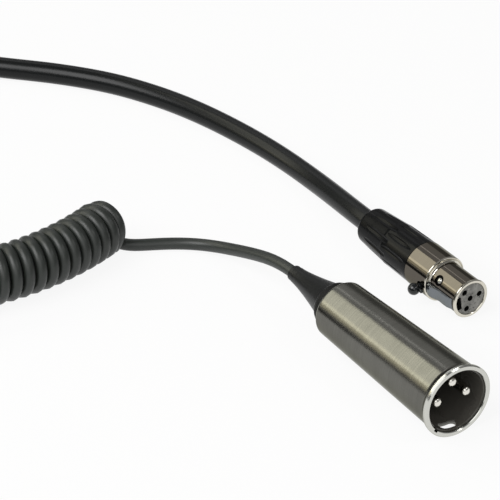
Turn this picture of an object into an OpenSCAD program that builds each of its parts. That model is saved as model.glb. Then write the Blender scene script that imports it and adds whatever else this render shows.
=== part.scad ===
// Coiled microphone cable, lying on a table.
// One end is a three-pin XLR plug on a thin coiled cord; the other end is a
// four-pole mini XLR plug with a push latch, on a straight lead. A moulded
// sleeve joins the lead to the coiled cord.
//
// Each plug is drawn along +Z, from the end where its cord leaves (z = 0) to
// its mating face, and is then laid down so that it points along -Y.

/* [XLR plug shell] */
// Length of the metal shell
xlr_shell_len = 47.4; // [44:0.1:62]
// Bore that receives the mating connector
xlr_bore_d = 16.4; // [13.8:0.1:20]
// Wall round that bore
xlr_wall = 0.65; // [0.5:0.05:1.2]
// Wall of the flared rim
xlr_rim_wall = 1.3; // [1:0.05:2]
// Step in from that bore to the seat of the insert
xlr_seat_step = 1.1; // [0.8:0.05:1.2]
// Wall at the rear edge of the shell, where it is thinnest outside
xlr_rear_wall = 1.55; // [1.4:0.05:2.4]
// Step in from the seat to the bore behind the insert
xlr_back_step = 1.2; // [0.8:0.1:2]
// Length of the flare behind the rim
xlr_flare_len = 2.4; // [1.5:0.1:3]
// Radius of the round on the shell's rear edge
xlr_rear_round = 0.8; // [0.6:0.05:0.9]
// Depth of the cavity from the rim to the face of the insert
xlr_cavity = 15.5; // [13:0.5:17]

/* [XLR latch window and key] */
// Distance from the rim to the middle of the latch window
window_back = 2.7; // [2.4:0.1:5]
// Width of the latch window round the shell
window_w = 5; // [3:0.1:6]
// Length of the latch window along the shell
window_len = 2.4; // [1.6:0.1:2.6]
// Angle of the latch window round the axis
window_turn = 263; // [258:1:280]
// Width of the key notch in the rim
key_w = 1.2; // [0.8:0.1:1.6]
// Radial depth of the key notch
key_depth = 0.6; // [0.3:0.05:0.7]
// Angle of the key notch round the axis
key_turn = 223; // [215:1:235]

/* [XLR contacts and insert] */
// Diameter of each pin
pin_d = 2.4; // [2:0.05:2.6]
// Distance from each pin to the bore round it
pin_edge = 2.8; // [2.2:0.1:3.4]
// Distance from the rim back to the tips of the pins
pin_back = 1.9; // [1:0.1:4]
// Length of the solder cup behind the insert
xlr_cup_len = 4.5; // [3:0.5:6]
// Length of the insert inside its seat
xlr_insert_len = 8; // [6:0.5:10]
// Thickness of the insert's front flange
xlr_flange_t = 3.5; // [2:0.5:5]
// Wall of the insulating liner in the cavity
liner_t = 0.3; // [0.2:0.05:0.4]
// Diameter of the insert's lock screw
lock_screw_d = 2; // [1.6:0.1:2.4]

/* [XLR boot and clamp] */
// Length of the tapered strain relief
xlr_cone_len = 16; // [10:0.2:24]
// Diameter of the strain relief at its tip
xlr_tip_d = 4.1; // [3.8:0.1:6]
// Step in from the grooved ring to the base of the strain relief
xlr_base_step = 1.15; // [0.6:0.05:2]
// Length of the grooved ring between strain relief and shell
xlr_ring_len = 3.4; // [2.4:0.1:5]
// Step in from the shell's rear edge to that ring
xlr_ring_step = 0.6; // [0.3:0.05:0.7]
// Length of the spigot inside the shell
xlr_spigot_len = 6.5; // [4:0.5:8]
// Outside diameter of the cord clamp
clamp_d = 9; // [7:0.1:10]
// Length of the cord clamp
clamp_len = 7.8; // [6:0.2:9]

/* [Mini XLR shell] */
// Length of the nose in front of the collar
mini_nose_len = 10.8; // [10.4:0.1:13]
// Bore of the nose
mini_bore_d = 8.5; // [7.3:0.1:10.2]
// Wall of the nose
mini_nose_wall = 0.65; // [0.4:0.05:0.9]
// Length of the collar
mini_collar_len = 8.6; // [8.4:0.1:11]
// Step out from the nose to the collar
mini_collar_step = 1.15; // [0.9:0.05:2]
// Height of the bead round the mouth of the nose
mini_lip = 0.25; // [0.05:0.05:0.4]
// Depth from the mouth to the face of the insert
mini_recess = 0.4; // [0.1:0.1:1]

/* [Mini XLR contacts] */
// Outside diameter of each socket contact
socket_d = 1.9; // [1.6:0.05:2]
// Bore of each socket contact
socket_bore = 1.1; // [0.9:0.05:1.2]
// Wall of the insert outside the three outer sockets
socket_edge = 0.5; // [0.4:0.05:0.8]
// Angle of the first outer socket round the axis
socket_turn = 9; // [0:1:20]
// Length of the bore in each socket contact
socket_depth = 7.5; // [6:0.5:9]
// Length of the insert
mini_insert_len = 11.3; // [10:0.1:13]

/* [Mini XLR latch] */
// Angle of the latch round the axis
latch_turn = 187.5; // [180:0.5:200]
// Width of the latch tongue
latch_w = 3.2; // [2.4:0.1:3.4]
// Thickness of the latch tongue
latch_t = 0.7; // [0.5:0.05:0.8]
// Height of the hook over the nose
hook_h = 1.05; // [0.8:0.05:1.1]
// Height of the tongue over the nose in front of the hook
ridge_h = 0.5; // [0.2:0.05:0.7]
// Distance from the rear of the shell to the push button
button_z = 6.6; // [6.2:0.1:6.8]
// Diameter of the ball on the push button
ball_d = 3.1; // [2.6:0.1:3.2]
// Height of the middle of the ball over the collar
ball_rise = 1.9; // [1.8:0.05:2.2]
// Diameter of the hole that the button's stem passes
stem_hole_d = 2.5; // [2.2:0.1:2.8]
// Angle of the lock pin round the axis
lock_turn = 146; // [138:1:147]
// Distance from the mouth to the lock pin
lock_back = 7.8; // [7:0.1:8.2]
// Diameter of the hole that the lock pin stands in
lock_hole_d = 2.8; // [2.4:0.1:2.9]
// Diameter of the lock pin
lock_pin_d = 1.7; // [1.5:0.1:2.1]

/* [Mini XLR boot] */
// Length of the boot
mini_boot_len = 22; // [18:0.1:28]
// Diameter of the boot at its rear
mini_boot_rear_d = 9.8; // [9.4:0.1:10.6]
// Diameter of the boot at its waist
mini_boot_waist_d = 11.3; // [10.6:0.1:11.7]
// Step in from the collar to the boot
mini_boot_step = 0.1; // [0.05:0.05:0.3]
// Number of flutes in each of the two rows
flute_count = 10; // [6:1:12]
// Depth of each flute
flute_depth = 0.25; // [0.1:0.05:0.4]
// Radius across each flute
flute_r = 1.1; // [0.8:0.1:2]

/* [Cords] */
// Diameter of the straight lead
lead_d = 5.7; // [4.7:0.1:5.9]
// Diameter of the coiled cord
cord_d = 3.1; // [2.8:0.1:3.2]
// Outside diameter of the coil
coil_d = 14.6; // [12:0.1:18]
// Radius of the curve that the coil lies in
coil_bend = 68; // [60:1:90]
// Angle of that curve from one end of the coil to the other
coil_sweep = 86; // [40:1:95]
// Length of the sleeve that joins the two cords
sleeve_len = 22; // [18:1:30]
// Largest diameter of that sleeve
sleeve_d = 8.4; // [7.4:0.1:10]

/* [Hidden] */

// Clearances, each between one piece and the piece it fits
seat_gap = 0.05;      // insert, liner, clamp and spigot in their bores
contact_gap = 0.03;   // contact in the insert
screw_gap = 0.05;     // lock screw or lock pin in its hole
latch_gap = 0.2;      // latch tongue beside its slot
cord_gap = 0.1;       // cord in a bore
face_gap = 0.05;      // end face against end face
shank_step = 0.2;     // a pin's shank in the insert stands out this far past its free end
mouth_step = 0.2;     // each hole in the mini insert's face stands out this far past its socket's bore
cup_wall = 0.2;       // wall of a mini socket's solder cup

// Diameters of the XLR shell and boot
xlr_front_d = xlr_bore_d + 2 * xlr_wall;
xlr_rim_d = xlr_bore_d + 2 * xlr_rim_wall;
xlr_seat_d = xlr_bore_d - 2 * xlr_seat_step;
xlr_back_d = xlr_seat_d - 2 * xlr_back_step;
xlr_rear_d = xlr_back_d + 2 * xlr_rear_wall;
xlr_ring_d = xlr_rear_d - 2 * (xlr_rear_round + xlr_ring_step);
xlr_base_d = xlr_ring_d - 2 * xlr_base_step;
pin_circle = xlr_bore_d - 2 * pin_edge - pin_d;

// Diameters of the mini XLR shell and boot
mini_nose_d = mini_bore_d + 2 * mini_nose_wall;
mini_lip_d = mini_nose_d + 2 * mini_lip;
mini_collar_d = mini_nose_d + 2 * mini_collar_step;
mini_boot_front_d = mini_collar_d - 2 * mini_boot_step;
socket_circle = mini_bore_d - 2 * socket_edge - socket_d;

// Stations along the XLR plug
xlr_shell_z = xlr_cone_len + xlr_ring_len;
xlr_len = xlr_shell_z + xlr_shell_len;
xlr_face_z = xlr_len - xlr_cavity;
xlr_step_z = xlr_face_z - xlr_flange_t;
xlr_seat_z = xlr_step_z - xlr_insert_len;
xlr_cup_z = xlr_seat_z - xlr_cup_len;
boss_len = 1.2;
lock_screw_z = xlr_step_z - xlr_insert_len / 2;
clamp_z = xlr_shell_z + xlr_spigot_len - 5;
xlr_jacket_z = clamp_z + clamp_len;

// Stations along the mini XLR plug
mini_step_z = mini_boot_len + mini_collar_len;
mini_len = mini_step_z + mini_nose_len;
mini_face_z = mini_len - mini_recess;
mini_seat_z = mini_face_z - mini_insert_len;
mini_spigot_len = 3.5;
shoulder_dish = 0.12;
mini_thread_z = mini_boot_len + mini_spigot_len + 0.5;
mini_thread_r = mini_collar_d / 2 - 1.25;
mini_cup_z = mini_seat_z - 3.5;
socket_tip_z = mini_face_z - 1.2;
mini_clamp_z = mini_boot_len * 0.42;
mini_jacket_z = mini_clamp_z + 4;
mini_cavity_r = mini_thread_r - 0.8;

// The latch tongue: its root is its pivot, and it lies flush in the nose
latch_top = mini_nose_d / 2 - 0.05;
latch_pivot_z = mini_boot_len + 1.6;
latch_root = 0.45;
latch_tip_z = mini_len - 1.5;
slot_tip_z = latch_tip_z + 0.3;
hook_back_z = mini_step_z + 0.3;
hook_crest_z = hook_back_z + 1;
hook_foot_z = hook_crest_z + 3.2;
latch_floor = latch_top - latch_t - 1.45;
button_at = mini_boot_len + button_z;

// Heights at which the plugs and cords lie
xlr_axis_z = xlr_rim_d / 2;
mini_axis_z = mini_collar_d / 2;
sleeve_axis_z = sleeve_d / 2;
lead_lie = lead_d / 2;
cord_lie = cord_d / 2;
coil_lie = coil_d / 2;

// Places of the two plugs: where each cord leaves
xlr_at = [-14.3, 27.6, xlr_axis_z];
mini_at = [17.7, 39.2, mini_axis_z];

// The coil's curve: its centre and the angle of its near end
coil_centre = [-64.9, 137.9, coil_lie];
coil_start = -65.7;

// The sleeve lies along +Y, from its thin end
sleeve_at = [-138, 130.6, sleeve_axis_z];

// Routes of the cords on the table, end to end
lead_route = [
    mini_at - [0, mini_jacket_z, 0], mini_at, [17.9, 45.1, 5.85], [18.7, 51.6, 5.2],
    [19.6, 58.6, 4.4], [20.4, 66.6, 3.6], [20.8, 75.6, 3.05], [20.5, 85.6, lead_lie],
    [19.3, 96.1, lead_lie], [16.9, 109.6, lead_lie], [13.5, 122.1, lead_lie], [9.5, 132.1, lead_lie],
    [4.9, 141.1, lead_lie], [-0.8, 149.1, lead_lie], [-7, 156.6, lead_lie], [-14, 163.6, lead_lie],
    [-23, 173.6, lead_lie], [-34.5, 182.6, lead_lie], [-48, 190.1, lead_lie], [-63.5, 195.6, lead_lie],
    [-79.5, 197.6, lead_lie], [-95.5, 196.1, lead_lie], [-110, 191.6, lead_lie], [-122.5, 184.1, lead_lie],
    [-131.4, 174, 3.1], [-136.6, 163.6, 3.7], [-138, 152.6, sleeve_axis_z], [-138, 149.6, sleeve_axis_z]];
plug_tail_route = [
    for (share = [1, 0.7, 0.35, 0]) xlr_at - [0, share * xlr_jacket_z, 0],
    [-14.4, 32.3, 9.25], [-14.7, 37.6, 8.4], [-15.1, 42.6, 7], [-15.5, 47.6, 5.4], [-16.2, 52.9, 3.7],
    [-17.6, 57.9, 2.4], [-20, 61.9, 1.75], [-23.5, 65.1, cord_lie], [-27.6, 67.6, cord_lie],
    [-32, 69.9, cord_lie], [-35.3, 72, cord_lie], [-37.2, 74.7, cord_lie]];
splice_tail_route = [
    [-124.6, 104.9, cord_lie], [-127.3, 109.9, cord_lie], [-130.6, 114.9, 1.75], [-134, 120, 2.7],
    [-136.8, 125.3, 3.7], [-138, 130.6, sleeve_axis_z], [-138, 133.6, sleeve_axis_z]];

fine = 72;
small = 32;

// Points along an arc
function arc(c, r, a0, a1, n = 6) =
    [for (i = [0 : n]) c + r * [cos(a0 + (a1 - a0) * i / n), sin(a0 + (a1 - a0) * i / n)]];

function unit(v) = v / norm(v);

// Direction of a route at its point i
function heading(p, i) = unit(p[min(i + 1, len(p) - 1)] - p[max(i - 1, 0)]);

// A ring of points round a route at its point i
function ring(p, i, r, sides, up) =
    let (t = heading(p, i), s = unit(cross(up, t)), u = cross(t, s))
    [for (k = [0 : sides - 1]) p[i] + r * (cos(360 * k / sides) * s + sin(360 * k / sides) * u)];

// A tube of one radius along a route
module tube(p, r, sides, up = [0, 0, 1]) {
    n = len(p);
    points = [for (i = [0 : n - 1]) each ring(p, i, r, sides, up)];
    walls = [for (i = [0 : n - 2], k = [0 : sides - 1])
        let (a = i * sides + k, b = i * sides + (k + 1) % sides)
        [a, a + sides, b + sides, b]];
    start_cap = [[for (k = [0 : sides - 1]) k]];
    end_cap = [[for (k = [sides - 1 : -1 : 0]) (n - 1) * sides + k]];
    polyhedron(points, concat(walls, start_cap, end_cap), convexity = 10);
}

module place_xlr() {
    translate(xlr_at) rotate([90, 0, 0]) children();
}

module place_mini() {
    translate(mini_at) rotate([90, 0, 0]) children();
}

// Where pin i stands: a right angle of three, with pin 3 at the top
function pin_turn(i) = [0, 180, 90][i - 1];
function pin_xy(i) = pin_circle / 2 * [cos(pin_turn(i)), sin(pin_turn(i))];

// Where socket i stands: three round the axis and the fourth on it
function socket_xy(i) = i == 4 ? [0, 0]
    : socket_circle / 2 * [cos(socket_turn + 120 * (i - 1)), sin(socket_turn + 120 * (i - 1))];

// A slot through a wall on one side, with round ends, across the axis at height z
module round_slot(z, turn, width, length, reach) {
    rotate([0, 0, turn]) translate([0, 0, z]) {
        translate([0, -(width - length) / 2, -length / 2]) cube([reach, width - length, length]);
        for (side = [-1, 1])
            translate([0, side * (width - length) / 2, 0]) rotate([0, 90, 0])
                cylinder(d = length, h = reach, $fn = small);
    }
}

// ---- XLR plug ----

// Radius of the shell's tapered outside at height z
function xlr_outer_r(z) = let (z0 = xlr_shell_z + xlr_rear_round, z1 = xlr_len - xlr_flare_len)
    (xlr_rear_d + (xlr_front_d - xlr_rear_d) * (z - z0) / (z1 - z0)) / 2;

// The outline of the shell, from its rear edge round the rim to its bores
function xlr_outline() = let (
    rear = xlr_rear_d / 2, front = xlr_front_d / 2, rim = xlr_rim_d / 2,
    z0 = xlr_shell_z, z1 = xlr_len, flare_z = xlr_len - xlr_flare_len)
    concat(
        arc([rear - xlr_rear_round, z0 + xlr_rear_round], xlr_rear_round, -90, 0),
        [[front, flare_z]],
        [for (i = [1 : 6]) [front + (rim - front) * (1 - cos(180 * i / 6)) / 2,
            flare_z + (xlr_flare_len - 0.7) * i / 6]],
        [[rim, z1 - 0.3], [rim - 0.25, z1], [xlr_bore_d / 2 + 0.15, z1],
         [xlr_bore_d / 2, z1 - 0.2], [xlr_bore_d / 2, xlr_step_z], [xlr_seat_d / 2, xlr_step_z],
         [xlr_seat_d / 2, xlr_seat_z - boss_len - 0.3], [xlr_back_d / 2, xlr_seat_z - boss_len - 0.3],
         [xlr_back_d / 2, z0]]);

module xlr_shell() {
    color("#8f8d86") place_xlr() difference() {
        rotate_extrude($fn = fine) polygon(xlr_outline());
        round_slot(xlr_len - window_back, window_turn, window_w, window_len, xlr_rim_d);
        rotate([0, 0, key_turn]) translate([0, -key_w / 2, xlr_len - xlr_flare_len + 0.5])
            cube([xlr_bore_d / 2 + key_depth, key_w, xlr_flare_len]);
        rotate([0, 90, window_turn]) translate([-lock_screw_z, 0, 0])
            cylinder(d = lock_screw_d + 2 * screw_gap, h = xlr_rim_d, $fn = small);
    }
}

module xlr_liner() {
    r = xlr_bore_d / 2 - seat_gap;
    color("#151515") place_xlr() difference() {
        translate([0, 0, xlr_face_z]) cylinder(r = r, h = xlr_cavity - 0.8, $fn = fine);
        translate([0, 0, xlr_face_z - 1]) cylinder(r = r - liner_t, h = xlr_cavity + 1, $fn = fine);
        round_slot(xlr_len - window_back, window_turn, window_w, window_len, xlr_rim_d);
        rotate([0, 0, key_turn]) translate([0, -key_w / 2, xlr_len - xlr_flare_len + 0.5])
            cube([xlr_rim_d / 2, key_w, xlr_flare_len]);
    }
}

module xlr_insert() {
    color("#1b1b1b") place_xlr() difference() {
        union() {
            translate([0, 0, xlr_seat_z])
                cylinder(d = xlr_seat_d - 2 * seat_gap, h = xlr_insert_len + 1, $fn = fine);
            translate([0, 0, xlr_step_z])
                cylinder(d = xlr_bore_d - 2 * seat_gap, h = xlr_flange_t, $fn = fine);
            for (i = [1 : 3])
                translate([each pin_xy(i), xlr_seat_z - boss_len]) cylinder(d = pin_d + 1.6, h = 2, $fn = small);
        }
        for (i = [1 : 3])
            translate([each pin_xy(i), xlr_cup_z])
                cylinder(d = pin_d + 2 * shank_step + 2 * contact_gap, h = xlr_len, $fn = small);
        rotate([0, 90, window_turn]) translate([-lock_screw_z, 0, pin_circle / 2 + 1.4])
            cylinder(d = lock_screw_d + 2 * screw_gap, h = xlr_rim_d, $fn = small);
        translate([-1.2, xlr_seat_d / 2 - 1, xlr_seat_z - 1]) cube([2.4, 2, xlr_insert_len]);
    }
}

// A pin with a domed tip and a solder cup cut open on its outer side
module xlr_pin(i) {
    r = pin_d / 2;
    tip = xlr_len - pin_back;
    color("#c9c6bb") place_xlr() translate([each pin_xy(i), 0]) difference() {
        rotate_extrude($fn = small)
            polygon(concat([[0, xlr_cup_z], [r + shank_step, xlr_cup_z],
                [r + shank_step, xlr_face_z], [r, xlr_face_z]],
                arc([r - 0.8, tip - 0.8], 0.8, 0, 90), [[0, tip]]));
        translate([0, 0, xlr_cup_z - 1]) cylinder(d = pin_d * 0.65, h = 4, $fn = small);
        rotate([0, 0, pin_turn(i)]) translate([0.3, -pin_d, xlr_cup_z - 1]) cube([pin_d, 2 * pin_d, 3.4]);
    }
}

// A bowed strip that touches the shell, seated in the groove at the top of the insert
module xlr_ground_spring() {
    floor_y = xlr_seat_d / 2 - 1 + face_gap;
    rise = 1 - face_gap - 2 * seat_gap - 0.25;
    steps = 8;
    span = xlr_insert_len - 1.4;
    bow = [for (i = [0 : steps]) [xlr_seat_z + 0.2 + span * i / steps, floor_y + rise * sin(180 * i / steps)]];
    back = [for (i = [steps : -1 : 0]) bow[i] + [0, 0.25]];
    color("#d8c06a") place_xlr() rotate([0, -90, 0]) translate([0, 0, -1])
        linear_extrude(2) polygon(concat(bow, back));
}

module xlr_lock_screw() {
    inner = pin_circle / 2 + 1.5;
    outer = xlr_outer_r(lock_screw_z) - 0.1;
    color("#777777") place_xlr() rotate([0, 90, window_turn]) translate([-lock_screw_z, 0, 0])
        difference() {
            translate([0, 0, inner]) cylinder(d = lock_screw_d, h = outer - inner, $fn = small);
            translate([-0.2, -lock_screw_d, outer - 0.5]) cube([0.4, 2 * lock_screw_d, 1]);
        }
}

// A collet: four fingers round the cord, with a taper where the boot closes on it
module xlr_cord_clamp() {
    r = clamp_d / 2;
    hole = cord_d / 2 + cord_gap;
    color("#3a3a3a") place_xlr() difference() {
        rotate_extrude($fn = fine) polygon([[hole, clamp_z], [r - 1.4, clamp_z], [r, clamp_z + 2.6],
            [r, xlr_jacket_z - 0.4], [r - 0.4, xlr_jacket_z], [hole, xlr_jacket_z]]);
        for (turn = [0, 90])
            rotate([0, 0, turn]) translate([-r, -0.4, clamp_z - 1]) cube([2 * r, 0.8, clamp_len - 1.5]);
    }
}

// The boot: strain relief, grooved ring, and the spigot that closes on the clamp
module xlr_boot() {
    tip = xlr_tip_d / 2;
    base = xlr_base_d / 2;
    ring_r = xlr_ring_d / 2;
    spigot = xlr_back_d / 2 - seat_gap;
    pocket = clamp_d / 2 + seat_gap;
    hole = cord_d / 2 + cord_gap;
    end_z = xlr_shell_z + xlr_spigot_len;
    flare = [for (i = [0 : 10])
        [tip + 0.1 + (base - tip - 0.1) * pow(i / 10, 1.35), 1.5 + (xlr_cone_len - 1.5) * i / 10]];
    color("#232323") place_xlr() rotate_extrude($fn = fine) polygon(concat(
        [[hole, 0], [tip - 0.3, 0], [tip, 0.3], [tip, 1.3]],
        flare,
        [[base + 0.35, xlr_cone_len + 0.1], [ring_r - 0.4, xlr_cone_len + 0.6],
         [ring_r - 0.1, xlr_cone_len + 1.3], [ring_r, xlr_shell_z - face_gap],
         [spigot, xlr_shell_z - face_gap], [spigot, end_z], [pocket, end_z], [pocket, clamp_z + 2.6],
         [pocket - 1.4, clamp_z - face_gap], [hole, clamp_z - face_gap]]));
}

// A conductor from the end of the jacket into the cup of pin i
module xlr_wire(i) {
    d = unit([each pin_xy(i), 0]);
    route = [for (q = [[0.8, xlr_jacket_z + face_gap], [0.9, xlr_jacket_z + 1.5],
        [pin_circle / 2 - 0.6, xlr_cup_z - 1.8], [pin_circle / 2, xlr_cup_z - 0.2],
        [pin_circle / 2, xlr_cup_z + 1.5]])
        q[0] * d + [0, 0, q[1]]];
    color(["#b02020", "#d8d8d8", "#2050a0"][i - 1]) place_xlr() tube(route, 0.5, 8, [-d[1], d[0], 0]);
}

// ---- Mini XLR plug ----

// The outline of the shell: collar, stepped shoulder, nose with a beaded mouth, and bores
function mini_outline() = let (
    collar = mini_collar_d / 2, nose = mini_nose_d / 2, lip = mini_lip_d / 2, bore = mini_bore_d / 2,
    z0 = mini_boot_len, z1 = mini_step_z, z2 = mini_len)
    concat(
        [[mini_thread_r, z0], [collar - 0.2, z0]],
        [[collar, z0 + 0.2]],
        arc([collar - 0.35, z1 - 0.35], 0.35, 0, 90, 4),
        [[collar - 0.5, z1 - shoulder_dish], [nose + 0.55, z1 - shoulder_dish]],
        arc([nose + 0.33, z1], 0.22, 0, 100, 4),
        [[nose + 0.06, z1 + 0.35], [nose, z1 + 0.6]],
        [[nose, z2 - 1]],
        arc([lip - 0.35, z2 - 0.45], 0.35, 0, 90, 4),
        arc([bore + 0.25, z2 - 0.35], 0.25, 90, 180, 3),
        [[bore, mini_thread_z], [mini_thread_r, mini_thread_z]]);

module mini_shell() {
    color("#9a9486") place_mini() difference() {
        rotate_extrude($fn = fine) polygon(mini_outline());
        rotate([0, 0, latch_turn]) {
            // the slot through the nose
            translate([0, -latch_w / 2 - latch_gap, mini_step_z - shoulder_dish])
                cube([mini_nose_d / 2 + 0.6, latch_w + 2 * latch_gap, slot_tip_z - mini_step_z + shoulder_dish]);
            // the groove inside the collar
            translate([0, -latch_w / 2 - latch_gap, mini_boot_len - 1])
                cube([latch_top + 0.1, latch_w + 2 * latch_gap, mini_collar_len + 1]);
            // the hole for the button's stem
            translate([0, 0, button_at]) rotate([0, 90, 0])
                cylinder(d = stem_hole_d, h = mini_collar_d, $fn = small);
        }
        rotate([0, 0, lock_turn]) translate([0, 0, mini_len - lock_back]) rotate([0, 90, 0])
            cylinder(d = lock_hole_d, h = mini_collar_d, $fn = small);
    }
}

module mini_insert() {
    color("#6f7072") place_mini() difference() {
        translate([0, 0, mini_seat_z])
            cylinder(d = mini_bore_d - 2 * seat_gap, h = mini_insert_len, $fn = fine);
        for (i = [1 : 4]) translate([each socket_xy(i), 0]) {
            translate([0, 0, mini_seat_z - 1])
                cylinder(d = socket_d + 2 * contact_gap, h = socket_tip_z + 0.05 - mini_seat_z + 1, $fn = small);
            cylinder(d = socket_bore + 2 * mouth_step, h = mini_len, $fn = small);
        }
        rotate([0, 0, latch_turn]) translate([latch_floor, -latch_w / 2 - latch_gap, mini_seat_z - 1])
            cube([mini_bore_d, latch_w + 2 * latch_gap, mini_insert_len + 2]);
        rotate([0, 0, lock_turn]) translate([0, 0, mini_len - lock_back]) rotate([0, 90, 0])
            translate([0, 0, mini_bore_d / 2 - 0.4])
                cylinder(d = lock_pin_d + 2 * screw_gap, h = 3, $fn = small);
    }
}

// A socket contact: bored from the front, with a solder cup behind
module mini_socket(i) {
    cup = 2.5;
    color("#c8a850") place_mini() translate([each socket_xy(i), 0]) difference() {
        translate([0, 0, mini_cup_z]) cylinder(d = socket_d, h = socket_tip_z - mini_cup_z, $fn = small);
        translate([0, 0, socket_tip_z - socket_depth]) cylinder(d = socket_bore, h = mini_len, $fn = small);
        translate([0, 0, mini_cup_z - 1]) cylinder(d = socket_d - 2 * cup_wall, h = cup + 1, $fn = small);
    }
}

module mini_lock_pin() {
    inner = mini_bore_d / 2 - 0.35;
    r = lock_pin_d / 2;
    color("#d9d6cc") place_mini() rotate([0, 0, lock_turn])
        translate([0, 0, mini_len - lock_back]) rotate([0, 90, 0]) rotate_extrude($fn = small)
            polygon(concat([[0, inner], [r, inner]],
                arc([r - 0.6, inner + 0.4], 0.6, 0, 90, 4), [[0, inner + 1]]));
}

// The latch: a leaf curved across like the nose, with a round root, a hook and a low ridge
module mini_latch() {
    inner = latch_top - latch_t;
    nose = mini_nose_d / 2;
    side = concat(
        [[0, latch_pivot_z], [latch_top, latch_pivot_z], [latch_top, hook_back_z],
         [nose + hook_h - 0.25, hook_back_z], [nose + hook_h - 0.05, hook_back_z + 0.25]],
        [for (i = [0 : 8]) [nose + ridge_h + (hook_h - ridge_h) * (1 + cos(180 * i / 8)) / 2,
            hook_crest_z + (hook_foot_z - hook_crest_z) * i / 8]],
        [[nose + ridge_h + 0.06, hook_foot_z + 1.6], [nose + ridge_h + 0.04, latch_tip_z - 1.8],
         [nose + ridge_h * 0.6, latch_tip_z - 0.8], [latch_top, latch_tip_z], [0, latch_tip_z]]);
    color("#70757a") place_mini() rotate([0, 0, latch_turn]) {
        intersection() {
            rotate_extrude($fn = fine) polygon(side);
            translate([inner, -latch_w / 2, latch_pivot_z])
                cube([mini_nose_d, latch_w, latch_tip_z - latch_pivot_z]);
        }
        translate([latch_top - latch_root, -latch_w / 2, latch_pivot_z]) rotate([-90, 0, 0])
            cylinder(r = latch_root, h = latch_w, $fn = small);
    }
}

// The push button: ball, stem into the latch, and a small arm towards the nose
module mini_latch_button() {
    high = mini_collar_d / 2 + ball_rise;
    arm_r = 0.45;
    arm_len = 2;
    arm_x = high - 0.8;
    color("#101010") place_mini() rotate([0, 0, latch_turn]) {
        translate([high, 0, button_at]) sphere(d = ball_d, $fn = small);
        translate([latch_top + 0.02, 0, button_at]) rotate([0, 90, 0])
            cylinder(r = 0.8, h = high - latch_top, $fn = small);
        translate([arm_x, 0, button_at]) cylinder(r = arm_r, h = arm_len, $fn = small);
        translate([arm_x, 0, button_at + arm_len]) sphere(r = arm_r + 0.05, $fn = small);
    }
}

// A crimped ring on the end of the lead's jacket
module mini_cord_clamp() {
    hole = lead_d / 2 + cord_gap;
    color("#8a8a8a") place_mini() rotate_extrude($fn = fine) polygon([
        [hole, mini_jacket_z - 3.4], [hole + 0.5, mini_jacket_z - 3.4], [hole + 0.6, mini_jacket_z - 2.8],
        [hole + 0.35, mini_jacket_z - 2], [hole + 0.6, mini_jacket_z - 1.2],
        [hole + 0.5, mini_jacket_z - 0.4], [hole, mini_jacket_z - 0.4]]);
}

// A scooped flute that fades out at both ends
module flute(z, half_len, body_r) {
    bend = half_len * half_len / (2 * flute_depth);
    sweep = 3 * asin(half_len / bend);
    translate([body_r - flute_depth + flute_r + bend, 0, z]) rotate([90, 0, 0])
        rotate([0, 0, 180 - sweep / 2]) rotate_extrude(angle = sweep, $fn = fine)
            translate([bend, 0]) circle(r = flute_r, $fn = small);
}

// The boot: round-shouldered and waisted, with two rows of flutes set between each other
module mini_boot() {
    rear = mini_boot_rear_d / 2;
    waist = mini_boot_waist_d / 2;
    front = mini_boot_front_d / 2;
    waist_z = mini_boot_len * 0.5;
    spigot = mini_thread_r - seat_gap;
    hole = lead_d / 2 + cord_gap;
    clamp_room = hole + 0.65;
    end_z = mini_boot_len + mini_spigot_len;
    outline = concat(
        [[hole, 0], [hole + 0.5, 0]],
        arc([rear - 1.1, 1.1], 1.1, -90, 0),
        [[waist, waist_z - 0.4], [waist + 0.1, waist_z + 0.3]],
        [[front, mini_boot_len - 1.2], [front, mini_boot_len - face_gap],
         [spigot, mini_boot_len - face_gap], [spigot, end_z], [mini_cavity_r, end_z],
         [mini_cavity_r, mini_clamp_z + 9], [clamp_room, mini_clamp_z + 7.6],
         [clamp_room, mini_clamp_z], [hole, mini_clamp_z]]);
    row_z = [mini_boot_len * 0.28, mini_boot_len * 0.70];
    row_r = [(rear + waist) / 2, (waist + front) / 2];
    row_half = [mini_boot_len * 0.21, mini_boot_len * 0.2];
    color("#1a1a1c") place_mini() difference() {
        rotate_extrude($fn = fine) polygon(outline);
        for (row = [0, 1], i = [0 : flute_count - 1])
            rotate([0, 0, 360 * (i + row / 2) / flute_count]) flute(row_z[row], row_half[row], row_r[row]);
        // room for the root of the latch
        rotate([0, 0, latch_turn]) translate([latch_top - latch_t - 0.4, -latch_w / 2 - latch_gap, mini_boot_len])
            cube([mini_collar_d, latch_w + 2 * latch_gap, mini_spigot_len + 1]);
    }
}

// A conductor from the end of the lead's jacket into the cup of socket i
module mini_wire(i) {
    out = socket_xy(i);
    near = i == 4 ? [0, 0] : 1.3 * unit(out);
    side = i == 4 ? [0, 1, 0] : [-unit(out)[1], unit(out)[0], 0];
    route = [[each near, mini_jacket_z + face_gap], [each near, mini_jacket_z + 2.5],
        [each (0.85 * out + 0.15 * near), mini_cup_z - 2.4], [each out, mini_cup_z - 0.4],
        [each out, mini_cup_z + 1.2]];
    color(["#b02020", "#d8d8d8", "#2050a0", "#c8b020"][i - 1]) place_mini() tube(route, 0.4, 8, side);
}

// ---- Cords ----

module straight_lead() {
    color("#1c1d1e") tube(lead_route, lead_d / 2, 10);
}

// The coil lies as one curved tube of its outside diameter
module coiled_cord() {
    color("#3b3e3c") translate(coil_centre) rotate([0, 0, coil_start - coil_sweep])
        rotate_extrude(angle = coil_sweep, $fn = fine) translate([coil_bend, 0]) circle(d = coil_d, $fn = fine);
}

module plug_tail() {
    color("#3b3e3c") tube(plug_tail_route, cord_d / 2, 8);
}

module splice_tail() {
    color("#3b3e3c") tube(splice_tail_route, cord_d / 2, 8);
}

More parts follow.
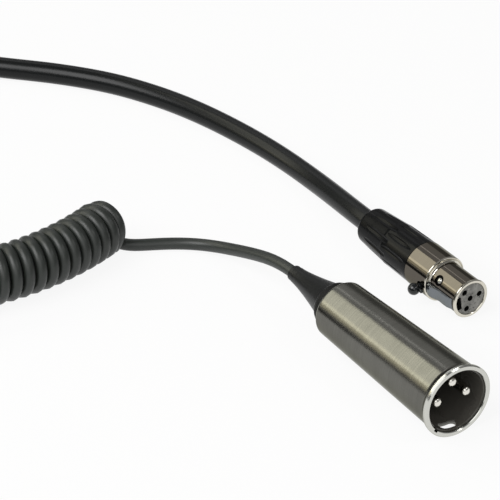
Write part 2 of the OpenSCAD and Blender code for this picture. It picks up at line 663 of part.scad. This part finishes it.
// The moulded sleeve, from the thin cord's end to the lead's end
module splice_sleeve() {
    thin = cord_d / 2 + cord_gap;
    thick = lead_d / 2 + cord_gap;
    r = sleeve_d / 2;
    color("#1f1f20") translate(sleeve_at) rotate([-90, 0, 0]) rotate_extrude($fn = fine)
        polygon(concat(
            [[0, 3.4], [thin, 3.4], [thin, 0], [thin + 0.6, 0]],
            [for (i = [0 : 6]) [thin + 0.9 + (r - thin - 0.9) * (1 - cos(180 * i / 6)) / 2,
                0.5 + (sleeve_len * 0.6 - 0.5) * i / 6]],
            [[r, sleeve_len - 0.8], [r - 0.6, sleeve_len], [thick, sleeve_len],
             [thick, sleeve_len - 3.4], [0, sleeve_len - 3.4]]));
}

xlr_shell();
xlr_liner();
xlr_insert();
xlr_pin(1);  // xlr_pin_1
xlr_pin(2);  // xlr_pin_2
xlr_pin(3);  // xlr_pin_3
xlr_ground_spring();
xlr_lock_screw();
xlr_cord_clamp();
xlr_boot();
xlr_wire(1);  // xlr_wire_1
xlr_wire(2);  // xlr_wire_2
xlr_wire(3);  // xlr_wire_3
mini_shell();
mini_insert();
mini_socket(1);  // mini_socket_1
mini_socket(2);  // mini_socket_2
mini_socket(3);  // mini_socket_3
mini_socket(4);  // mini_socket_4
mini_lock_pin();
mini_latch();
mini_latch_button();
mini_cord_clamp();
mini_boot();
mini_wire(1);  // mini_wire_1
mini_wire(2);  // mini_wire_2
mini_wire(3);  // mini_wire_3
mini_wire(4);  // mini_wire_4
straight_lead();
coiled_cord();
plug_tail();
splice_tail();
splice_sleeve();
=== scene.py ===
import math

import bpy
import numpy as np
from mathutils import Matrix, Vector


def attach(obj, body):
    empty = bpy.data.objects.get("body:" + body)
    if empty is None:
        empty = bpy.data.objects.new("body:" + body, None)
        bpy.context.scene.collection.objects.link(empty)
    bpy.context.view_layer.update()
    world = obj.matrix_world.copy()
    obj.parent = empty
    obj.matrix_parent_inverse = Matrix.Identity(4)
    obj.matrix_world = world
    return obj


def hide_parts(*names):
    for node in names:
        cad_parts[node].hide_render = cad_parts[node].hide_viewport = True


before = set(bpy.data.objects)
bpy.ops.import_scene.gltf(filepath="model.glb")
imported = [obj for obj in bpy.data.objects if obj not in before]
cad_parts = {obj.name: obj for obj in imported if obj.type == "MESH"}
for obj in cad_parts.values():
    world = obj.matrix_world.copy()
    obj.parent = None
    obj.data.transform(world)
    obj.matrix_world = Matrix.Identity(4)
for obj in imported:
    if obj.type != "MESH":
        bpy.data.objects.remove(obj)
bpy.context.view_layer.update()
MM = 0.001

# ---------------------------------------------------------------- camera

# where the camera stands and what it looks at, in mm, and its lens, fitted to the photograph
CAMERA_AT, LOOK_AT, LENS = (-435.8, -573.1, 483.8), (-9.0, 54.4, 0), 256.9

cam_data = bpy.data.cameras.new("camera")
cam = bpy.data.objects.new("camera", cam_data)
bpy.context.scene.collection.objects.link(cam)
look = Vector(LOOK_AT) * MM
cam.location = Vector(CAMERA_AT) * MM
cam.rotation_mode = "QUATERNION"
cam.rotation_quaternion = (look - cam.location).to_track_quat("-Z", "Y")
cam_data.sensor_width = 36
cam_data.lens = LENS
cam_data.clip_start = 0.05
cam_data.clip_end = 20
bpy.context.scene.camera = cam

# ---------------------------------------------------------------- node helpers


class Nodes:
    """A small builder for a material's node tree."""

    def __init__(self, name):
        self.mat = bpy.data.materials.new(name)
        self.mat.use_nodes = True
        self.tree = self.mat.node_tree
        self.tree.nodes.clear()
        self.out = self.add("ShaderNodeOutputMaterial")

    def add(self, kind, **values):
        n = self.tree.nodes.new(kind)
        for k, v in values.items():
            setattr(n, k, v)
        return n

    def link(self, a, b):
        self.tree.links.new(a, b)

    def feed(self, socket, v):
        """Sets a socket to a number or a colour, or links it to another node's output."""
        if isinstance(v, (int, float)):
            socket.default_value = v
        elif isinstance(v, tuple):
            socket.default_value = v + (1,)
        else:
            self.link(v, socket)

    def math(self, op, a, b=None, clamp=False):
        n = self.add("ShaderNodeMath", operation=op, use_clamp=clamp)
        self.feed(n.inputs[0], a)
        if b is not None:
            self.feed(n.inputs[1], b)
        return n.outputs[0]

    def mix(self, fac, a, b, kind="RGBA"):
        n = self.add("ShaderNodeMix", data_type=kind)
        which = {"RGBA": (0, 6, 7, 2), "FLOAT": (0, 2, 3, 0)}[kind]
        for i, v in zip(which, (fac, a, b)):
            self.feed(n.inputs[i], v)
        return n.outputs[which[3]]

    def vary(self, fac, base, spread):
        """A colour that runs from darker to lighter than the base by the spread."""
        darker = tuple(c * (1 - spread) for c in base)
        lighter = tuple(min(1, c * (1 + spread)) for c in base)
        return self.mix(fac, darker, lighter)

    def ramp(self, fac, stops):
        n = self.add("ShaderNodeValToRGB")
        e = n.color_ramp.elements
        while len(e) < len(stops):
            e.new(0.5)
        for s, (p, c) in zip(e, stops):
            s.position = p
            s.color = c + (1,)
        self.link(fac, n.inputs[0])
        return n.outputs[0]

    def noise(self, vec, scale, detail=4, rough=0.55, distortion=0.0):
        n = self.add("ShaderNodeTexNoise")
        n.inputs["Scale"].default_value = scale
        n.inputs["Detail"].default_value = detail
        n.inputs["Roughness"].default_value = rough
        n.inputs["Distortion"].default_value = distortion
        self.link(vec, n.inputs["Vector"])
        return n.outputs["Fac"]

    def coords(self):
        return self.add("ShaderNodeTexCoord").outputs["Object"]

    def split(self, vec):
        """The X, Y and Z of a vector."""
        n = self.add("ShaderNodeSeparateXYZ")
        self.link(vec, n.inputs[0])
        return n.outputs

    def bump(self, height, strength, distance):
        n = self.add("ShaderNodeBump")
        n.inputs["Strength"].default_value = strength
        n.inputs["Distance"].default_value = distance
        self.link(height, n.inputs["Height"])
        return n.outputs[0]

    def bsdf(self, base, metal, rough, **more):
        """The material's one shader. Further sockets go by their names, with _ for a space."""
        n = self.add("ShaderNodeBsdfPrincipled")
        for k, v in {"Base Color": base, "Metallic": metal, "Roughness": rough, **more}.items():
            self.feed(n.inputs[k.replace("_", " ")], v)
        self.link(n.outputs[0], self.out.inputs[0])

    def round_coords(self, x, z, along, around):
        """Coordinates that run round and along an axis parallel to Y through (x, z), and the way along Y."""
        px, py, pz = self.split(self.coords())
        dx = self.math("SUBTRACT", px, x * MM)
        dz = self.math("SUBTRACT", pz, z * MM)
        angle = self.math("ARCTAN2", dz, dx)
        c = self.add("ShaderNodeCombineXYZ")
        self.link(self.math("MULTIPLY", self.math("COSINE", angle), around), c.inputs[0])
        self.link(self.math("MULTIPLY", self.math("SINE", angle), around), c.inputs[1])
        self.link(self.math("MULTIPLY", py, along / MM), c.inputs[2])
        return c.outputs[0], py


def put(material, *nodes):
    """Gives CAD nodes a material."""
    for n in nodes:
        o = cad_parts[n]
        if not o.material_slots:
            o.data.materials.append(material)
        for s in o.material_slots:
            s.material = material


# ---------------------------------------------------------------- materials

# the axes of the two plugs, which run along Y, in mm
XLR_X, XLR_Z = -14.3, 9.5
MINI_X, MINI_Z = 17.7, 6.05
# how deep the grain goes, in m
FINE_DEPTH, GRAIN_DEPTH, SPECK_DEPTH = 0.00002, 0.00003, 0.00004
POLISHED_ROUGH = 0.14


def turned_metal(name, x, z, base, rough, streaks, bump, brush=0.05, painted_highlight_bands=()):
    """Plated metal with the fine marks that a lathe leaves round it.

    painted_highlight_bands lists bands along Y in mm where the metal is smoother and much lighter, a painted
    highlight for bright rims and edge lines, each with its colour: (from, to, colour).
    """
    m = Nodes(name)
    vec, y = m.round_coords(x, z, along=9.0, around=0.2)
    fine = m.noise(vec, 1.0, 5, 0.65)
    broad = m.noise(m.round_coords(x, z, along=0.25, around=1.6)[0], 1.0, 3, 0.5)
    lines = m.noise(m.round_coords(x, z, along=4.0, around=0.22)[0], 1.0, 4, 0.7)
    tone = m.math("ADD", m.math("MULTIPLY", broad, 0.35), m.math("MULTIPLY", lines, 0.65))
    tone = m.math("MULTIPLY", m.math("SUBTRACT", tone, 0.3, clamp=True), 2.5, clamp=True)
    shade = m.vary(tone, base, brush)
    r = m.math("ADD", m.math("MULTIPLY", fine, streaks), rough - streaks * 0.5)
    # Painted highlight: in each band the colour is lighter, standing in for the bright reflection on a rim
    # or edge.
    for y0, y1, highlight_colour in painted_highlight_bands:
        inside = m.math("MULTIPLY", m.math("GREATER_THAN", y, y0 * MM), m.math("LESS_THAN", y, y1 * MM))
        shade = m.mix(inside, shade, highlight_colour)
        r = m.mix(inside, r, POLISHED_ROUGH, kind="FLOAT")
    m.bsdf(shade, 1.0, r, Normal=m.bump(fine, bump, FINE_DEPTH), Specular_Tint=(0.6, 0.6, 0.56))
    return m.mat


def moulded(name, base, rough, bump=0.15, scale=900.0, **more):
    """Plastic or rubber from a mould, with a fine grain and slightly uneven gloss."""
    m = Nodes(name)
    co = m.coords()
    grain = m.noise(co, scale, 4, 0.6)
    cloud = m.noise(co, scale * 0.08, 3, 0.5)
    r = m.math("ADD", m.math("MULTIPLY", cloud, 0.12), rough - 0.06)
    m.bsdf(m.vary(cloud, base, 0.25), 0.0, r, Normal=m.bump(grain, bump, GRAIN_DEPTH), **more)
    return m.mat


# The lighter bands on both shells are painted highlights on the rims, lips and edge lines; only their lower
# roughness is real polish.
satin_nickel = turned_metal("satin_nickel", XLR_X, XLR_Z, (0.148, 0.146, 0.133), 0.17, 0.1, 0.5, 0.2,
                            painted_highlight_bands=[(-40, -38.3, (0.6, 0.6, 0.56)), (7.6, 8.3, (0.4, 0.4, 0.36))])
bright_nickel = turned_metal("bright_nickel", MINI_X, MINI_Z, (0.115, 0.103, 0.088), 0.08, 0.03, 0.05, 0.05,
                             painted_highlight_bands=[(-3, -1.2, (0.66, 0.63, 0.55)), (8.1, 8.95, (0.66, 0.63, 0.55)),
                                       (17.0, 17.3, (0.4, 0.38, 0.32))])
put(satin_nickel, "xlr_shell")
put(bright_nickel, "mini_shell")

pin_metal = turned_metal("pin_metal", XLR_X, XLR_Z, (0.78, 0.76, 0.7), 0.16, 0.05, 0.05)
put(pin_metal, "xlr_pin_1", "xlr_pin_2", "xlr_pin_3")
put(turned_metal("lock_pin_steel", MINI_X, MINI_Z, (0.5, 0.5, 0.47), 0.24, 0.05, 0.05), "mini_lock_pin")
# The contacts' gold is made far darker than gold: painted shade for the deep holes and the shell they sit
# in.
painted_shade_gold = turned_metal("contact_gold_painted_shade", MINI_X, MINI_Z, (0.06, 0.045, 0.025), 0.4, 0.05, 0.05)
put(painted_shade_gold, "mini_socket_1", "mini_socket_2", "mini_socket_3", "mini_socket_4", "xlr_ground_spring")
steel = turned_metal("screw_steel", XLR_X, XLR_Z, (0.45, 0.45, 0.44), 0.3, 0.08, 0.1)
put(steel, "xlr_lock_screw", "mini_cord_clamp")
latch_steel = turned_metal("latch_steel", MINI_X, MINI_Z, (0.2, 0.215, 0.23), 0.28, 0.08, 0.1)
put(latch_steel, "mini_latch")

put(moulded("insert_black", (0.022, 0.021, 0.019), 0.34, 0.2), "xlr_insert")
put(moulded("liner_black", (0.085, 0.08, 0.07), 0.28, 0.2), "xlr_liner")
put(moulded("clamp_plastic", (0.05, 0.05, 0.05), 0.5), "xlr_cord_clamp")


def boot_rubber(name, ring_y):
    """Moulded rubber, blacker and duller on the ring next to the shell."""
    m = Nodes(name)
    co = m.coords()
    ring = m.math("LESS_THAN", m.split(co)[1], ring_y * MM)
    cloud = m.noise(co, 60, 3, 0.5)
    shade = m.mix(cloud, (0.005, 0.0053, 0.0053), (0.008, 0.0086, 0.0086))
    shade = m.mix(ring, shade, (0.0015, 0.0015, 0.0015))
    r = m.mix(ring, m.math("ADD", m.math("MULTIPLY", cloud, 0.12), 0.28), 0.6, kind="FLOAT")
    grain = m.noise(co, 700, 4, 0.6)
    m.bsdf(shade, 0.0, r, Normal=m.bump(grain, 0.12, GRAIN_DEPTH), Specular_IOR_Level=0.25)
    return m.mat


put(boot_rubber("boot_rubber", 11.0), "xlr_boot")
put(moulded("boot_gloss", (0.004, 0.0042, 0.0044), 0.16, 0.06, 600, Specular_IOR_Level=0.09), "mini_boot")
put(moulded("button_black", (0.006, 0.007, 0.008), 0.14, 0.04, 500), "mini_latch_button")
put(moulded("sleeve_rubber", (0.02, 0.021, 0.021), 0.45, 0.2, 600), "splice_sleeve")
for slot, colour, nodes in (
    ("wire_red", (0.45, 0.03, 0.03), ("xlr_wire_1", "mini_wire_1")),
    ("wire_white", (0.75, 0.75, 0.72), ("xlr_wire_2", "mini_wire_2")),
    ("wire_blue", (0.04, 0.1, 0.4), ("xlr_wire_3", "mini_wire_3")),
    ("wire_yellow", (0.7, 0.52, 0.06), ("mini_wire_4",)),
):
    put(moulded(slot, colour, 0.35, 0.05), *nodes)


HOLE_SHADE_DEPTH = 0.04      # how far past the face the painted shade in the insert's holes begins, in mm


def speckled(name, face_y):
    """Grey filled plastic with dark and light specks, and painted shade that makes it near black past the
    face, in its holes and slot.
    """
    m = Nodes(name)
    co = m.coords()
    cloud = m.noise(co, 420, 3, 0.6)
    base = m.ramp(cloud, [(0.3, (0.15, 0.148, 0.138)), (0.7, (0.35, 0.345, 0.32))])
    dark = m.math("GREATER_THAN", m.noise(co, 1900, 2, 0.5), 0.63)
    light = m.math("GREATER_THAN", m.noise(co, 1500, 2, 0.5, 0.4), 0.66)
    c = m.mix(m.math("MULTIPLY", dark, 0.75), base, (0.03, 0.03, 0.03))
    c = m.mix(m.math("MULTIPLY", light, 0.6), c, (0.5, 0.46, 0.44))
    # Painted shade: past the face, on the walls of the holes and the key slot, the plastic is near black and
    # dull.
    behind = m.math("GREATER_THAN", m.split(co)[1], (face_y + HOLE_SHADE_DEPTH) * MM)
    c = m.mix(behind, c, (0.003, 0.003, 0.003))
    m.bsdf(c, 0.0, m.mix(behind, 0.5, 1.0, kind="FLOAT"), Specular_IOR_Level=0.2,
           Normal=m.bump(m.noise(co, 1200, 4, 0.6), 0.35, SPECK_DEPTH))
    return m.mat


put(speckled("insert_grey", -1.8), "mini_insert")

# ---------------------------------------------------------------- cords


def spline(points, step):
    """A smooth line through the points (mm), with a new point about every step."""
    p = np.array(points, float)
    q = np.vstack([2 * p[0] - p[1], p, 2 * p[-1] - p[-2]])
    out = []
    for i in range(1, len(q) - 2):
        a, b, c, d = q[i - 1:i + 3]
        t1, t2 = np.linalg.norm(b - a) ** 0.5, np.linalg.norm(c - b) ** 0.5
        t3 = np.linalg.norm(d - c) ** 0.5
        m1 = (b - a) / t1 - (c - a) / (t1 + t2) + (c - b) / t2
        m2 = (c - b) / t2 - (d - b) / (t2 + t3) + (d - c) / t3
        m1, m2 = m1 * t2, m2 * t2
        n = max(2, int(round(np.linalg.norm(c - b) / step)))
        for t in np.arange(n) / n:
            out.append((2 * t**3 - 3 * t**2 + 1) * b + (t**3 - 2 * t**2 + t) * m1
                       + (3 * t**2 - 2 * t**3) * c + (t**3 - t**2) * m2)
    out.append(p[-1])
    return np.array(out)


def settle(p, rounds, radius):
    """Evens a line out without moving its ends, and keeps it on the table."""
    p = p.copy()
    for _ in range(rounds):
        p[1:-1] += 0.25 * (p[:-2] - 2 * p[1:-1] + p[2:])
    p[:, 2] = np.maximum(p[:, 2], radius)
    return p


def tube(name, p, diameter, material, resolution):
    """A round cord along the line p. The resolution sets how many sides it has."""
    data = bpy.data.curves.new(name, "CURVE")
    data.dimensions = "3D"
    s = data.splines.new("POLY")
    s.points.add(len(p) - 1)
    s.points.foreach_set("co", np.c_[p * MM, np.ones(len(p))].ravel())
    data.bevel_depth = diameter / 2 * MM
    data.bevel_resolution = resolution
    data.use_fill_caps = True
    data.twist_mode = "MINIMUM"
    o = bpy.data.objects.new(name, data)
    bpy.context.scene.collection.objects.link(o)
    data.materials.append(material)
    s.use_smooth = True
    return o


# sizes in mm, as in the CAD: the cords and the coil, where each cord leaves its plug, and the sleeve's axis
LEAD_D, CORD_D, COIL_D = 5.7, 3.1, 14.6
XLR_AT = (XLR_X, 27.6, XLR_Z)
MINI_AT = (MINI_X, 39.2, MINI_Z)
SLEEVE_Z = 4.2
# the height of each cord's axis where it lies on the table
LIE, THIN = LEAD_D / 2, CORD_D / 2
EVEN_LEAD, EVEN_CORD = 24, 30    # rounds that even the lines out

lead_route = [
    (MINI_X, 26, MINI_Z), (MINI_X, 32.6, MINI_Z), MINI_AT, (17.9, 45.1, 5.85), (18.7, 51.6, 5.2),
    (19.6, 58.6, 4.4), (20.4, 66.6, 3.6), (20.8, 75.6, 3.05), (20.5, 85.6, LIE),
    (19.3, 96.1, LIE), (16.9, 109.6, LIE), (13.5, 122.1, LIE), (9.5, 132.1, LIE),
    (4.9, 141.1, LIE), (-0.8, 149.1, LIE), (-7, 156.6, LIE), (-14, 163.6, LIE),
    (-23, 173.6, LIE), (-34.5, 182.6, LIE), (-48, 190.1, LIE), (-63.5, 195.6, LIE),
    (-79.5, 197.6, LIE), (-95.5, 196.1, LIE), (-110, 191.6, LIE), (-122.5, 184.1, LIE),
    (-131.4, 174, 3.1), (-136.6, 163.6, 3.7), (-138, 152.6, SLEEVE_Z), (-138, 149.6, SLEEVE_Z)]
lead_line = settle(spline(lead_route, 1.5), EVEN_LEAD, LIE)


def jacket(name, base, rough, level, grain):
    """Cord jacket: extruded plastic with a very fine grain and faint uneven gloss."""
    m = Nodes(name)
    co = m.coords()
    cloud = m.noise(co, 60, 3, 0.5)
    fine = m.noise(co, 1500, 3, 0.6)
    r = m.math("ADD", m.math("MULTIPLY", cloud, 0.1), rough - 0.05)
    m.bsdf(m.vary(cloud, base, 0.15), 0.0, r,
           Normal=m.bump(fine, grain, FINE_DEPTH), Specular_IOR_Level=level)
    return m.mat


gloss_jacket = jacket("gloss_jacket", (0.004, 0.0048, 0.005), 0.27, level=0.24, grain=0.1)
matte_jacket = jacket("matte_jacket", (0.019, 0.0225, 0.0195), 0.4, level=0.5, grain=0.2)

lead = tube("lead_cord", lead_line, LEAD_D, gloss_jacket, 8)
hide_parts("straight_lead")
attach(lead, "cable")

# the coiled cord: the tail from the plug, the turns, and the tail to the sleeve. The coil lies on an arc
# round a centre, with a radius in mm, from a start angle through a sweep in degrees
CENTRE, BEND, START, SWEEP = np.array([-64.9, 137.9]), 68.0, -65.7, 86.0
TURNS, FIRST_ANGLE = 31.75, -112     # how often the cord goes round, and the angle at which it begins
PER_TURN = 24                        # points on each turn
END_GAP = 0.8                        # from each end of the arc to the first and last turn, in mm
BLEND = 22                           # points of the coil that run into each tail
MEAN_R = (COIL_D - CORD_D) / 2
plug_tail = [
    (XLR_X, 3, XLR_Z), (XLR_X, 12, XLR_Z), (XLR_X, 20, XLR_Z), XLR_AT, (-14.4, 32.3, 9.25),
    (-14.7, 37.6, 8.4), (-15.1, 42.6, 7), (-15.5, 47.6, 5.4), (-16.2, 52.9, 3.7), (-17.6, 57.9, 2.4),
    (-20, 61.9, 1.75), (-23.5, 65.1, THIN), (-27.6, 67.6, THIN), (-32, 69.9, THIN), (-35.3, 72, THIN)]
splice_tail = [(-127.3, 109.9, THIN), (-130.6, 114.9, 1.75), (-134, 120, 2.7),
               (-136.8, 125.3, 3.7), (-138, 130.6, SLEEVE_Z), (-138, 133.6, SLEEVE_Z)]


def coil_point(run, turn):
    """A point of the coil: run is the way along its arc in mm, turn the angle round the coil in degrees."""
    a = math.radians(START) - run / BEND
    out = np.array([math.cos(a), math.sin(a)])
    r = MEAN_R * math.cos(math.radians(turn))
    xy = CENTRE + (BEND + r) * out
    return (*xy, COIL_D / 2 + MEAN_R * math.sin(math.radians(turn)))


first, last = END_GAP, BEND * math.radians(SWEEP) - END_GAP
coil = []
steps = int(TURNS * PER_TURN)
for i in range(steps + 1):
    t = i / steps
    coil.append(coil_point(first + (last - first) * t, FIRST_ANGLE - 360 * TURNS * t))
tail_in = settle(spline(plug_tail + coil[2:BLEND:3], 0.7), EVEN_CORD, THIN)
tail_out = settle(spline(coil[-BLEND:-2:3] + splice_tail, 0.7), EVEN_CORD, THIN)
coil_line = np.vstack([tail_in[:-1], np.array(coil[BLEND - 2:-BLEND]), tail_out])
coil_line[:, 2] = np.maximum(coil_line[:, 2], THIN)
cord = tube("coiled_cord_line", coil_line, CORD_D, matte_jacket, 4)
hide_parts("coiled_cord", "plug_tail", "splice_tail")
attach(cord, "cable")

# ---------------------------------------------------------------- stage and lights

bpy.ops.mesh.primitive_plane_add(size=6, location=(0, 0, 0))
floor = bpy.context.object
floor.name = "floor"
# The floor is white to the camera and in reflections, and keeps some of its plain surface for the shadow.
FLOOR_GLOW, SKY = 0.9, 0.22
m = Nodes("floor_white")
path = m.add("ShaderNodeLightPath")
seen = m.math("MAXIMUM", path.outputs["Is Camera Ray"],
              m.math("MAXIMUM", path.outputs["Is Glossy Ray"], path.outputs["Is Transmission Ray"]))
glow = m.add("ShaderNodeEmission")
glow.inputs[0].default_value = (1, 1, 1, 1)
glow.inputs[1].default_value = 1.0
plain = m.add("ShaderNodeBsdfDiffuse")
plain.inputs[0].default_value = (0.8, 0.8, 0.8, 1)
blend = m.add("ShaderNodeMixShader")
m.link(m.math("MULTIPLY", seen, FLOOR_GLOW), blend.inputs[0])
m.link(plain.outputs[0], blend.inputs[1])
m.link(glow.outputs[0], blend.inputs[2])
m.link(blend.outputs[0], m.out.inputs[0])
floor.data.materials.append(m.mat)

world = bpy.data.worlds.new("world")
bpy.context.scene.world = world
world.use_nodes = True
bg = world.node_tree.nodes["Background"]
bg.inputs[0].default_value = (1, 1, 1, 1)
bg.inputs[1].default_value = SKY


AIM = Vector((-5, 20, 5)) * MM    # what the lamps face


def softbox(name, direction, distance, size, power, colour=(1, 1, 1), along=None):
    """A rectangular lamp that faces the object, with its first side level or along the given direction."""
    data = bpy.data.lights.new(name, "AREA")
    data.shape = "RECTANGLE"
    data.size, data.size_y = size
    data.energy = power
    data.color = colour
    o = bpy.data.objects.new(name, data)
    bpy.context.scene.collection.objects.link(o)
    out = Vector(direction).normalized()
    side = Vector(along) if along else Vector((0, 0, 1)).cross(out)
    side = (side - out * side.dot(out)).normalized()
    turn = Matrix((side, out.cross(side), out)).transposed()
    o.location = AIM + out * distance
    o.rotation_mode = "QUATERNION"
    o.rotation_quaternion = turn.to_quaternion()


# Five lamps behind the object, which show as bands along the plugs.
softbox("key", (-0.40, 0.697, 0.594), 1.2, (1.0, 0.36), 2.85, (1, 0.985, 0.84), along=(-0.829, 0, -0.559))
softbox("warm", (-0.655, 0.697, 0.292), 1.2, (0.34, 0.36), 0.5, (1, 0.93, 0.66), along=(-0.407, 0, -0.914))
softbox("low", (-0.708, 0.697, 0.112), 1.2, (0.024, 0.5), 0.045, (1, 0.95, 0.8), along=(-0.156, 0, -0.988))
softbox("strip", (0.233, 0.697, 0.678), 1.2, (0.05, 0.5), 0.11, along=(-0.945, 0, 0.325))
softbox("dim", (0.337, 0.697, 0.633), 1.25, (0.9, 0.6), 0.7)
# One over the cords, and two in front that light the faces of the plugs.
softbox("left", (-0.68, 0.02, 0.73), 1.2, (0.8, 0.8), 11)
softbox("fill", (-0.5, -0.75, 0.6), 1.6, (1.2, 1.2), 6)
softbox("spark", (0.35, -0.55, 0.75), 1.5, (0.3, 0.3), 2.0)

bpy.context.scene.view_settings.view_transform = "Standard"

bpy.context.view_layer.update()
